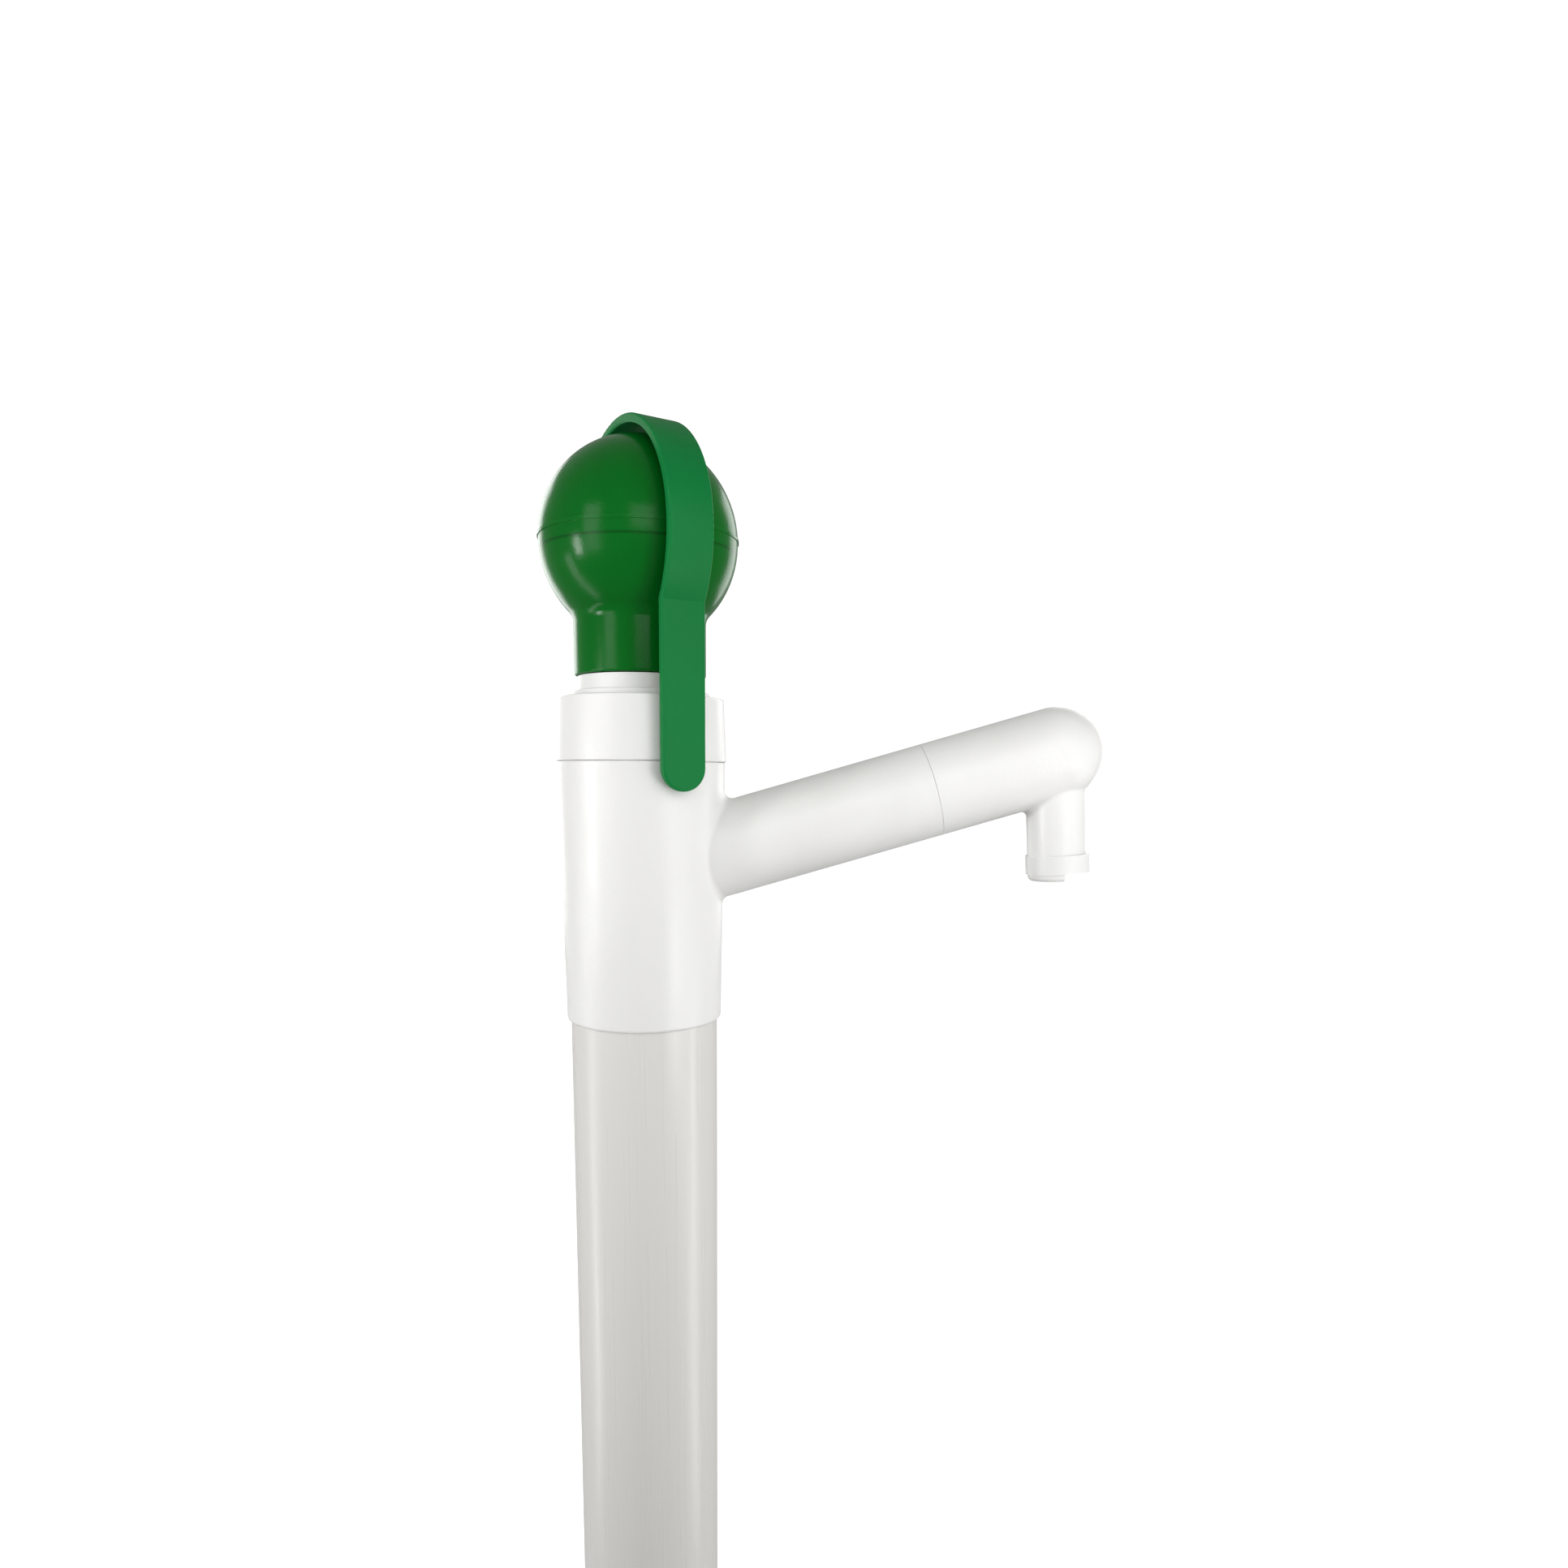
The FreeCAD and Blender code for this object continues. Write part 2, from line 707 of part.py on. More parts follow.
def piston_valve_disc():
    """The rubber disc that rests on the ports and lifts up the stud on the down stroke."""
    return ring("piston_valve_disc", 17.0, stud_radius + 0.09, valve_disc_foot + 0.05, valve_disc_top)


# ---------------------------------------------------------------- ball knob

hub_radius = 13.0
knob_floor = rod_top + 0.1
knob_floor_top = knob_floor + 4.0
bolt_shoulder = 4.0
clip_turn = FreeCAD.Rotation(FreeCAD.Vector(0, 0, 1), number_of(size["clip_azimuth"]))
clip_place = FreeCAD.Placement(FreeCAD.Vector(), clip_turn)


def ball_lower_half():
    """The lower shell of the ball with its neck, and the hub that turns on the rod."""
    hub_bore = size["rod_radius"] + size["running_gap"]
    neck_inner = size["neck_radius"] - size["ball_wall"]
    outer_junction = ball_centre - other_side(size["ball_radius"], size["neck_radius"])
    inner_junction = ball_centre - other_side(ball_inner, neck_inner)
    body = turned_body("ball_lower_half", [
        (hub_bore, knob_foot),
        (size["neck_radius"], knob_foot),
        (size["neck_radius"], outer_junction, ball_centre, "up"),
        (size["ball_radius"], ball_centre),
        (ball_inner, ball_centre, ball_centre, "down"),
        (neck_inner, inner_junction),
        (neck_inner, knob_foot + size["ball_wall"]),
        (hub_radius, knob_foot + size["ball_wall"]),
        (hub_radius, knob_floor_top),
        (bolt_shoulder + 0.1, knob_floor_top),
        (bolt_shoulder + 0.1, knob_floor),
        (hub_bore, knob_floor),
    ])
    round_circles(body, 5.0, [(size["neck_radius"], outer_junction)], "NeckBlend")
    round_circles(body, 0.8, [(size["neck_radius"], knob_foot)], "NeckFootEdge")

    web_half = 1.25
    web_sketch = new_sketch(body, "WebOutline", "XY_Plane")
    corners = [
        FreeCAD.Vector(hub_radius - 0.5, -web_half, 0),
        FreeCAD.Vector(number_of(neck_inner) + 0.5, -web_half, 0),
        FreeCAD.Vector(number_of(neck_inner) + 0.5, web_half, 0),
        FreeCAD.Vector(hub_radius - 0.5, web_half, 0),
    ]
    for index, corner in enumerate(corners):
        web_sketch.addGeometry(Part.LineSegment(corner, corners[(index + 1) % len(corners)]))
    web_sketch.AttachmentOffset = at_height(knob_foot + size["ball_wall"] - 0.5)
    web_sketch.setExpression("AttachmentOffset.Base.z", (knob_foot + size["ball_wall"] - 0.5).text)
    web = body.newObject("PartDesign::Pad", "Web")
    web.Profile = web_sketch
    web.Length = 16.0
    document.recompute()
    repeat(body, web, "Webs", 4)
    body.Placement = clip_place
    return keep(body, "ball_lower_half")


def ear_sketch(body, name, offset, radius_inner):
    """An ear's outline, drawn with its long side pointing out of the ball towards the hinge."""
    sketch = new_sketch(body, name)
    ear_half = number_of(size["eyelet_radius"]) + 0.4
    hinge = number_of(clip_middle)
    corners = [
        FreeCAD.Vector(radius_inner, -ear_half, 0),
        FreeCAD.Vector(hinge, -ear_half, 0),
        FreeCAD.Vector(hinge, ear_half, 0),
        FreeCAD.Vector(radius_inner, ear_half, 0),
    ]
    sketch.addGeometry(Part.LineSegment(corners[0], corners[1]))
    end = Part.Circle(FreeCAD.Vector(hinge, 0, 0), FreeCAD.Vector(0, 0, 1), ear_half)
    sketch.addGeometry(Part.ArcOfCircle(end, -math.pi / 2, math.pi / 2))
    sketch.addGeometry(Part.LineSegment(corners[2], corners[3]))
    sketch.addGeometry(Part.LineSegment(corners[3], corners[0]))
    pin_hole = Part.Circle(FreeCAD.Vector(hinge, 0, 0), FreeCAD.Vector(0, 0, 1),
                           number_of(size["hinge_pin_radius"]))
    sketch.addGeometry(pin_hole)
    lean = FreeCAD.Rotation(FreeCAD.Vector(0, 0, 1), 90 + number_of(size["hinge_polar"]))
    sketch.AttachmentOffset = FreeCAD.Placement(FreeCAD.Vector(0, number_of(clip_centre), offset), lean)
    sketch.setExpression("AttachmentOffset.Base.y", clip_centre.text)
    return sketch


def ball_upper_half():
    """The upper shell of the ball: a parting bead at the equator and two hinge ears behind the crown."""
    spigot_outer = ball_inner - 0.3
    spigot_inner = spigot_outer - 1.5
    bead_radius = size["ball_radius"] + 0.3
    bead_top = ball_centre + 0.9
    bead_inner = other_side(size["ball_radius"], bead_top - ball_centre)
    body = turned_body("ball_upper_half", [
        (spigot_inner, ball_centre - 3.5),
        (spigot_outer, ball_centre - 3.5),
        (spigot_outer, ball_centre),
        (bead_radius, ball_centre),
        (bead_radius, bead_top),
        (bead_inner, bead_top, ball_centre, "up"),
        (0, ball_centre + size["ball_radius"]),
        (0, ball_centre + ball_inner, ball_centre, "down"),
        (spigot_inner, ball_centre + other_side(ball_inner, spigot_inner)),
    ])
    ear_gap = number_of(size["eyelet_width"]) / 2 + 0.25
    ear_thickness = 2.5
    for name, offset in (("LeftEar", ear_gap), ("RightEar", -ear_gap - ear_thickness)):
        pad = body.newObject("PartDesign::Pad", name)
        pad.Profile = ear_sketch(body, name + "Outline", offset, number_of(ball_inner) + 1.2)
        pad.Length = ear_thickness
        document.recompute()
    body.Placement = clip_place
    return keep(body, "ball_upper_half")


def swivel_washer():
    foot = knob_floor_top + 0.1
    return ring("swivel_washer", 9.0, bolt_shoulder, foot, foot + 1.5)


def knob_bolt():
    """The shoulder bolt on which the knob turns: head, shoulder and thread in one turned piece."""
    head_foot_height = knob_floor_top + 1.6
    return turned("knob_bolt", [
        (0, rod_top - 16.0),
        (3.0, rod_top - 16.0),
        (3.0, rod_top),
        (bolt_shoulder, rod_top),
        (bolt_shoulder, head_foot_height),
        (7.0, head_foot_height),
        (7.0, head_foot_height + 5.0),
        (3.0, head_foot_height + 5.0),
        (3.0, head_foot_height + 2.0),
        (0, head_foot_height + 2.0),
    ])


def hinge_pin():
    """The pin through the ears and the clip's eyelet, with a low head at each end."""
    head_radius = 2.6
    head_height = 1.0
    half = number_of(size["eyelet_width"]) / 2 + 0.25 + 2.5
    body = turned_body("hinge_pin", [
        (0, -half - head_height),
        (head_radius, -half - head_height),
        (head_radius, -half),
        (size["hinge_pin_radius"], -half),
        (size["hinge_pin_radius"], half),
        (head_radius, half),
        (head_radius, half + head_height),
        (0, half + head_height),
    ])
    lay_across = FreeCAD.Rotation(FreeCAD.Vector(1, 0, 0), 90)
    hinge_point = FreeCAD.Vector(-number_of(hinge_back), 0, number_of(hinge_height))
    body.Placement = clip_place.multiply(FreeCAD.Placement(hinge_point, lay_across))
    return keep(body, "hinge_pin")


# ---------------------------------------------------------------- handle clip

def clip_outline(body):
    """The clip's side view: an arc over the ball from the hinge, then a straight finger."""
    sketch = new_sketch(body, "ClipOutline")
    centre = FreeCAD.Vector(0, number_of(clip_centre), 0)
    normal = FreeCAD.Vector(0, 0, 1)
    inner = number_of(clip_inner)
    outer = number_of(clip_outer)
    reach = number_of(size["clip_reach"])
    reach_outer = reach + number_of(size["clip_thickness"])
    tip_height = number_of(ball_centre - size["clip_tip"])
    hinge_angle = math.radians(90 + number_of(size["hinge_polar"]))
    inner_end = -math.acos(reach / inner)
    outer_end = -math.acos(reach_outer / outer)

    def on_arc(radius, angle):
        return centre + FreeCAD.Vector(radius * math.cos(angle), radius * math.sin(angle), 0)

    inner_circle = Part.Circle(centre, normal, inner)
    outer_circle = Part.Circle(centre, normal, outer)
    inner_arc = sketch.addGeometry(Part.ArcOfCircle(inner_circle, inner_end, hinge_angle))
    outer_arc = sketch.addGeometry(Part.ArcOfCircle(outer_circle, outer_end, hinge_angle))
    inner_foot = FreeCAD.Vector(reach, tip_height, 0)
    outer_foot = FreeCAD.Vector(reach_outer, tip_height, 0)
    sketch.addGeometry(Part.LineSegment(on_arc(inner, inner_end), inner_foot))
    sketch.addGeometry(Part.LineSegment(inner_foot, outer_foot))
    sketch.addGeometry(Part.LineSegment(outer_foot, on_arc(outer, outer_end)))
    sketch.addGeometry(Part.LineSegment(on_arc(outer, hinge_angle), on_arc(inner, hinge_angle)))
    for arc, radius in ((inner_arc, clip_inner), (outer_arc, clip_outer)):
        bind(sketch, "Radius", (arc,), radius)
        bind(sketch, "DistanceY", (-1, 1, arc, 3), clip_centre)
    return sketch


def handle_clip():
    """The strap that folds over the ball: hinged behind the crown, with a round finger tip."""
    body = new_body("HandleClip")
    strap = body.newObject("PartDesign::Pad", "ClipStrap")
    strap.Profile = clip_outline(body)
    strap.Midplane = True
    strap.Length = number_of(size["clip_width"])
    strap.setExpression("Length", size["clip_width"].text)
    document.recompute()

    round_tip(body)
    narrow_hinge_end(body)
    add_eyelet(body)
    soften_edges(body)
    body.Placement = clip_place
    return keep(body, "handle_clip")


def pocket_from(body, sketch, label, reversed_way):
    volume = body.Shape.Volume
    pocket = body.newObject("PartDesign::Pocket", label)
    pocket.Profile = sketch
    pocket.Type = 1
    pocket.Reversed = reversed_way
    document.recompute()
    if body.Shape.Volume > volume - 1:
        raise RuntimeError(f"{label} cuts nothing")


def round_tip(body):
    """Cut the two corners off the finger's end, to leave a half circle."""
    half = number_of(size["clip_width"]) / 2
    tip_height = number_of(ball_centre - size["clip_tip"])
    middle = FreeCAD.Vector(0, tip_height + half, 0)
    sketch = new_sketch(body, "TipCorners", "YZ_Plane")
    beyond = 2.0
    left = FreeCAD.Vector(-half, middle.y, 0)
    right = FreeCAD.Vector(half, middle.y, 0)
    end_circle = Part.Circle(middle, FreeCAD.Vector(0, 0, 1), half)
    sketch.addGeometry(Part.ArcOfCircle(end_circle, math.pi, 2 * math.pi))
    outside = [
        right,
        FreeCAD.Vector(half + beyond, middle.y, 0),
        FreeCAD.Vector(half + beyond, tip_height - beyond, 0),
        FreeCAD.Vector(-half - beyond, tip_height - beyond, 0),
        FreeCAD.Vector(-half - beyond, middle.y, 0),
        left,
    ]
    for start, end in zip(outside, outside[1:]):
        sketch.addGeometry(Part.LineSegment(start, end))
    pocket_from(body, sketch, "TipRound", True)


def narrow_hinge_end(body):
    """Narrow the strap where it runs in between the ears."""
    half = number_of(size["clip_width"]) / 2
    narrow = number_of(size["eyelet_width"]) / 2
    wide_height = number_of(clip_centre) + 34.5
    narrow_height = number_of(clip_centre) + 26.5
    foot = number_of(clip_centre)
    beyond = 2.0
    sketch = new_sketch(body, "HingeEndSides", "YZ_Plane")
    for side in (-1, 1):
        corners = [
            FreeCAD.Vector(side * half, wide_height, 0),
            FreeCAD.Vector(side * (half + beyond), wide_height, 0),
            FreeCAD.Vector(side * (half + beyond), foot, 0),
            FreeCAD.Vector(side * narrow, foot, 0),
            FreeCAD.Vector(side * narrow, narrow_height, 0),
        ]
        for index, corner in enumerate(corners):
            sketch.addGeometry(Part.LineSegment(corner, corners[(index + 1) % len(corners)]))
    pocket_from(body, sketch, "HingeEndNarrow", False)


def add_eyelet(body):
    """Add the round eyelet and its hole for the hinge pin."""
    hinge = FreeCAD.Vector(-number_of(hinge_back), number_of(hinge_height), 0)
    normal = FreeCAD.Vector(0, 0, 1)
    boss_sketch = new_sketch(body, "EyeletOutline")
    boss_sketch.addGeometry(Part.Circle(hinge, normal, number_of(size["eyelet_radius"])))
    boss = body.newObject("PartDesign::Pad", "Eyelet")
    boss.Profile = boss_sketch
    boss.Midplane = True
    boss.Length = number_of(size["eyelet_width"])
    boss.setExpression("Length", size["eyelet_width"].text)
    document.recompute()
    hole_sketch = new_sketch(body, "EyeletHoleOutline")
    hole_radius = number_of(size["hinge_pin_radius"] + size["running_gap"])
    hole_sketch.addGeometry(Part.Circle(hinge, normal, hole_radius))
    hole = body.newObject("PartDesign::Pocket", "EyeletHole")
    hole.Profile = hole_sketch
    hole.Type = 1
    hole.Midplane = True
    document.recompute()


def soften_edges(body):
    """Round the long edges of the strap and the edges of its tip."""
    half = number_of(size["clip_width"]) / 2
    tip = body.Tip
    chosen = []
    for index, edge in enumerate(tip.Shape.Edges, start=1):
        on_a_side = all(abs(abs(vertex.Y) - half) < 1e-3 for vertex in edge.Vertexes)
        along_strap = edge.Length > number_of(size["clip_thickness"]) + 1
        across_crease = edge.BoundBox.YLength > half and isinstance(edge.Curve, Part.Line)
        if on_a_side and along_strap and not across_crease:
            chosen.append(f"Edge{index}")
    fillet = body.newObject("PartDesign::Fillet", "SoftEdges")
    fillet.Base = (tip, chosen)
    fillet.Radius = 0.7
    document.recompute()


# ---------------------------------------------------------------- foot valve

seat_plate_foot = 30.0
seat_plate_top = 36.0
port_radius = 12.0
stem_guide_radius = 3.0
cage_radius = 21.1
skirt_foot = 16.0
strainer_skirt_radius = 22.1


def foot_housing():
    """The plug in the pipe's foot, with the valve's seat plate and a skirt for the strainer. It is
    slimmer than the pipe, so that a clamp ring can slide onto the pipe from below."""
    plug_radius = size["pipe_bore"] - size["glue_gap"]
    plug_top = size["pipe_foot"] + 20.0
    skirt_bore = strainer_skirt_radius + 0.1
    cage_bore = cage_radius + 0.1
    shoulder_bore = 19.5
    body = turned_body("foot_housing", [
        (skirt_bore, skirt_foot),
        (size["foot_radius"], skirt_foot),
        (size["foot_radius"], size["pipe_foot"]),
        (plug_radius, size["pipe_foot"]),
        (plug_radius, plug_top),
        (cage_bore, plug_top),
        (cage_bore, size["pipe_foot"]),
        (shoulder_bore, size["pipe_foot"]),
        (shoulder_bore, seat_plate_top),
        (port_radius, seat_plate_top),
        (port_radius, seat_plate_foot),
        (skirt_bore, seat_plate_foot),
    ])
    return keep(body, "foot_housing")


def valve_seat_ring():
    """The rubber ring on the seat plate that the valve disc closes on."""
    return ring("valve_seat_ring", 17.0, port_radius, seat_plate_top, seat_plate_top + 2.0)


def foot_valve_disc():
    """The foot valve's disc, with a winged stem that keeps it over the port."""
    disc_foot = seat_plate_top + 2.05
    wing_reach = port_radius - 0.6
    wing_half = 1.0
    plate = primitive("Cylinder", "ValvePlate", at_height(disc_foot), Radius=15.5, Height=3.0)
    stem = primitive("Cylinder", "ValveStem", at_height(seat_plate_foot - 4), Radius=2.5,
                     Height=disc_foot - seat_plate_foot + 4 + 0.5)
    guide = primitive("Cylinder", "ValveGuide", at_height(disc_foot + 2.5),
                      Radius=stem_guide_radius, Height=20.0)
    wings = []
    for index, turn in enumerate((0, 90)):
        half_turn = FreeCAD.Rotation(FreeCAD.Vector(0, 0, 1), turn)
        corner = half_turn.multVec(FreeCAD.Vector(-wing_reach, -wing_half, 0))
        corner.z = seat_plate_foot - 4
        wing = primitive("Box", f"ValveWing{index}", FreeCAD.Placement(corner, half_turn),
                         Length=wing_reach * 2, Width=wing_half * 2, Height=disc_foot - seat_plate_foot + 4.5)
        wings.append(wing)
    return keep(fuse("FootValveDisc", [plate, stem, guide] + wings), "foot_valve_disc")


def valve_cage():
    """The cage over the foot valve: a skirt on the housing's shoulder, a guide hole for the disc's
    stem and ports for the water."""
    skirt_bore = 19.0
    plate_foot = size["pipe_foot"] + 14.0
    plate_top = plate_foot + 4.0
    guide_hole = stem_guide_radius + 0.09
    body = turned_body("valve_cage", [
        (skirt_bore, size["pipe_foot"]),
        (cage_radius, size["pipe_foot"]),
        (cage_radius, plate_top),
        (guide_hole, plate_top),
        (guide_hole, plate_foot),
        (skirt_bore, plate_foot),
    ])
    cut_holes(body, "CagePorts", [(12.5, 4.2)], 6)
    return keep(body, "valve_cage")


def strainer():
    """The strainer basket under the foot valve: a slotted cup that stands on the well's floor."""
    rim_top = skirt_foot - 0.1
    inner_radius = strainer_skirt_radius - 3.0
    floor_thickness = 3.0
    body = turned_body("strainer", [
        (0, 0),
        (size["foot_radius"] - 4.0, 0),
        (size["foot_radius"], 4.0),
        (size["foot_radius"], rim_top),
        (strainer_skirt_radius, rim_top),
        (strainer_skirt_radius, seat_plate_foot),
        (inner_radius, seat_plate_foot),
        (inner_radius, floor_thickness + 2.0),
        (inner_radius - 2.0, floor_thickness),
        (0, floor_thickness),
    ])
    cut_holes(body, "StrainerFloorHoles", [(8.0, 1.6)], 6)
    cut_holes(body, "StrainerOuterHoles", [(15.0, 1.6)], 12)
    cut_wall_slots(body)
    return keep(body, "strainer")


def cut_wall_slots(body):
    """Cut a ring of upright slots through the strainer's wall."""
    slot_half = 1.4
    slot_foot = 6.5
    slot_top = 13.0
    slot_count = 16
    sketch = new_sketch(body, "WallSlotOutline", "YZ_Plane")
    corners = [
        FreeCAD.Vector(-slot_half, slot_foot, 0),
        FreeCAD.Vector(slot_half, slot_foot, 0),
        FreeCAD.Vector(slot_half, slot_top, 0),
        FreeCAD.Vector(-slot_half, slot_top, 0),
    ]
    for index, corner in enumerate(corners):
        sketch.addGeometry(Part.LineSegment(corner, corners[(index + 1) % len(corners)]))
    volume = body.Shape.Volume
    slot = body.newObject("PartDesign::Pocket", "WallSlot")
    slot.Profile = sketch
    slot.Type = 1
    slot.Reversed = True
    document.recompute()
    repeat(body, slot, "WallSlots", slot_count)
    if body.Shape.Volume > volume - 1:
        raise RuntimeError("WallSlot cuts nothing")


def strainer_screws():
    """The self-tapping screws that hold the strainer in the housing's skirt, as separate solids."""
    count = 3
    head_radius = 2.2
    head_sunk = 1.2
    head_height = 1.4
    shank_radius = 1.3
    shank_length = 4.4
    height = 23.0
    outer = number_of(size["foot_radius"])
    screws = []
    for index in range(count):
        turn = FreeCAD.Rotation(FreeCAD.Vector(0, 0, 1), 360 / count * index + 60)
        outward = turn.multiply(FreeCAD.Rotation(FreeCAD.Vector(0, 1, 0), 90))
        base = turn.multVec(FreeCAD.Vector(outer - shank_length - 0.1, 0, height))
        head_base = turn.multVec(FreeCAD.Vector(outer - head_sunk, 0, height))
        shank = primitive("Cylinder", f"ScrewShank{index}", FreeCAD.Placement(base, outward),
                          Radius=shank_radius, Height=shank_length)
        head = primitive("Cylinder", f"ScrewHead{index}", FreeCAD.Placement(head_base, outward),
                         Radius=head_radius, Height=head_height)
        screws.append(fuse(f"Screw{index}", [shank, head]))
    group = document.addObject("Part::Compound", "StrainerScrews")
    group.Links = screws
    return keep(group, "strainer_screws")


def build():
    riser_pipe()
    head_body()
    spout_elbow()
    outlet_ring()
    gland_cap()
    gland_gasket()
    guide_bush()
    rod_wiper()
    rod_seal()
    seal_retainer()
    bush_circlip()
    plunger_rod()
    rod_foot_stud()
    rod_top_insert()
    rod_stop()
    rod_bumper()
    piston_plate()
    piston_seal()
    piston_follower()
    piston_washer()
    piston_nut()
    piston_valve_disc()
    ball_lower_half()
    ball_upper_half()
    swivel_washer()
    knob_bolt()
    hinge_pin()
    handle_clip()
    foot_housing()
    valve_seat_ring()
    foot_valve_disc()
    valve_cage()
    strainer()
    strainer_screws()


def check_and_write():
    document.recompute()
    for item in document.Objects:
        if "Invalid" in item.State or "Error" in item.State:
            raise RuntimeError(f"{item.Label} failed: {item.State}")
    os.makedirs("parts", exist_ok=True)
    for part in parts:
        if part.Shape.isNull() or not part.Shape.isValid():
            raise RuntimeError(f"{part.Label} has no valid shape")
        part.Shape.exportStep(f"parts/{part.Label}.step")
        box = part.Shape.BoundBox
        print(f"{part.Label:20s} solids {len(part.Shape.Solids)}  volume {part.Shape.Volume:10.1f}"
              f"  z {box.ZMin:7.2f} to {box.ZMax:7.2f}  x {box.XMin:7.2f} to {box.XMax:7.2f}")


build()
check_and_write()
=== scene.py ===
import math

import bmesh
import bpy
from mathutils import Matrix, Vector

# Hand well pump: materials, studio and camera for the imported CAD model.
# Metres, in the CAD frame: +Z runs up the pump axis and +X is the side of the spout.

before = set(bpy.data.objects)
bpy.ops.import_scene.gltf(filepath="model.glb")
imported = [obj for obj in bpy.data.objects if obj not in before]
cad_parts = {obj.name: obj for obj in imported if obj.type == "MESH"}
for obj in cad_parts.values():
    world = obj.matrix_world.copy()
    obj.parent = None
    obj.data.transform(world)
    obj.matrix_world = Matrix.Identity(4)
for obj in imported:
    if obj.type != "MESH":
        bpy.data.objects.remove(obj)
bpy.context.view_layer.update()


# ---------------------------------------------------------------- node materials

class Finish:
    """A node material being built round its Principled shader."""

    def __init__(self, name, roughness, metallic=0.0):
        self.material = bpy.data.materials.new(name)
        self.material.use_nodes = True
        self.nodes = self.material.node_tree.nodes
        self.links = self.material.node_tree.links
        self.shader = self.nodes["Principled BSDF"]
        self.shader.inputs["Roughness"].default_value = roughness
        self.shader.inputs["Metallic"].default_value = metallic
        self.place = self.nodes.new("ShaderNodeTexCoord").outputs["Object"]
        self.last_bump = None

    def noise(self, scale, detail=2.0, stretch=(1, 1, 1), offset=(0, 0, 0)):
        """A cloudy pattern with the given number of patches per metre, longer along any stretched axis."""
        mapping = self.nodes.new("ShaderNodeMapping")
        mapping.inputs["Scale"].default_value = [1 / value for value in stretch]
        mapping.inputs["Location"].default_value = offset
        texture = self.nodes.new("ShaderNodeTexNoise")
        texture.inputs["Scale"].default_value = scale
        texture.inputs["Detail"].default_value = detail
        self.links.new(self.place, mapping.inputs["Vector"])
        self.links.new(mapping.outputs["Vector"], texture.inputs["Vector"])
        return texture.outputs["Fac"]

    def worn_edges(self, width):
        """Nearly 0 on flat faces and towards 1 on edges that are sharper than the given width."""
        soft = self.nodes.new("ShaderNodeBevel")
        soft.samples = 4
        soft.inputs["Radius"].default_value = width
        plain = self.nodes.new("ShaderNodeNewGeometry")
        likeness = self.nodes.new("ShaderNodeVectorMath")
        likeness.operation = "DOT_PRODUCT"
        self.links.new(soft.outputs["Normal"], likeness.inputs[0])
        self.links.new(plain.outputs["Normal"], likeness.inputs[1])
        return self.between(likeness.outputs["Value"], 0.99, 0.8, 0.0, 1.0)

    def between(self, value, value_low, value_high, low, high):
        """A value moved from one range to another, held at the ends."""
        shift = self.nodes.new("ShaderNodeMapRange")
        shift.inputs["From Min"].default_value = value_low
        shift.inputs["From Max"].default_value = value_high
        shift.inputs["To Min"].default_value = low
        shift.inputs["To Max"].default_value = high
        self.links.new(value, shift.inputs["Value"])
        return shift.outputs["Result"]

    def colours(self, value, stops):
        """A colour that follows a value through (position, colour) stops."""
        node = self.nodes.new("ShaderNodeValToRGB")
        ramp = node.color_ramp
        while len(ramp.elements) < len(stops):
            ramp.elements.new(0.5)
        for element, (position, colour) in zip(ramp.elements, stops):
            element.position = position
            element.color = (*colour, 1)
        self.links.new(value, node.inputs["Fac"])
        return node.outputs["Color"]

    def mixed(self, factor, first, second):
        """The first colour where the factor is 0 and the second, a plain one, where it is 1."""
        node = self.nodes.new("ShaderNodeMix")
        node.data_type = "RGBA"
        self.links.new(factor, node.inputs[0])
        self.links.new(first, node.inputs[6])
        node.inputs[7].default_value = (*second, 1)
        return node.outputs[2]

    def bump(self, height, depth, strength=1.0):
        """Raise the surface by a height pattern, on top of any bump that came before."""
        node = self.nodes.new("ShaderNodeBump")
        node.inputs["Distance"].default_value = depth
        node.inputs["Strength"].default_value = strength
        self.links.new(height, node.inputs["Height"])
        if self.last_bump:
            self.links.new(self.last_bump, node.inputs["Normal"])
        self.last_bump = node.outputs["Normal"]
        self.links.new(self.last_bump, self.shader.inputs["Normal"])

    def colour_from(self, colour):
        self.links.new(colour, self.shader.inputs["Base Color"])

    def roughness_from(self, value):
        self.links.new(value, self.shader.inputs["Roughness"])


def scaled(colour, share):
    return tuple(channel * share for channel in colour)


def moulded_tone(finish, colour, shade, worn):
    """Faint flow clouds between two colours, with a third on rubbed edges."""
    clouds = finish.noise(28, 3, stretch=(1, 1, 2.5))
    tone = finish.colours(clouds, [(0.35, shade), (0.62, colour)])
    return finish.mixed(finish.worn_edges(0.0006), tone, worn)


def moulded_plastic(name, colour, shade, worn, roughness, peel_depth):
    """Injection-moulded plastic: a fine orange peel, faint flow clouds and rubbed edges."""
    finish = Finish(name, roughness)
    finish.colour_from(moulded_tone(finish, colour, shade, worn))
    patches = finish.noise(90, 4, offset=(0.3, 0.1, 0.7))
    finish.roughness_from(finish.between(patches, 0.3, 0.7, roughness - 0.05, roughness + 0.06))
    finish.bump(finish.noise(900, 2), peel_depth)
    finish.bump(finish.noise(160, 2, offset=(0.2, 0.5, 0.1)), peel_depth * 3, 0.35)
    return finish


def white_plastic():
    finish = moulded_plastic("moulded_white", (0.83, 0.827, 0.815), (0.79, 0.786, 0.77),
                             (0.87, 0.868, 0.86), 0.35, 0.00004)
    finish.shader.inputs["Subsurface Weight"].default_value = 0.08
    finish.shader.inputs["Subsurface Radius"].default_value = (1.0, 0.9, 0.75)
    finish.shader.inputs["Subsurface Scale"].default_value = 0.003
    return finish.material


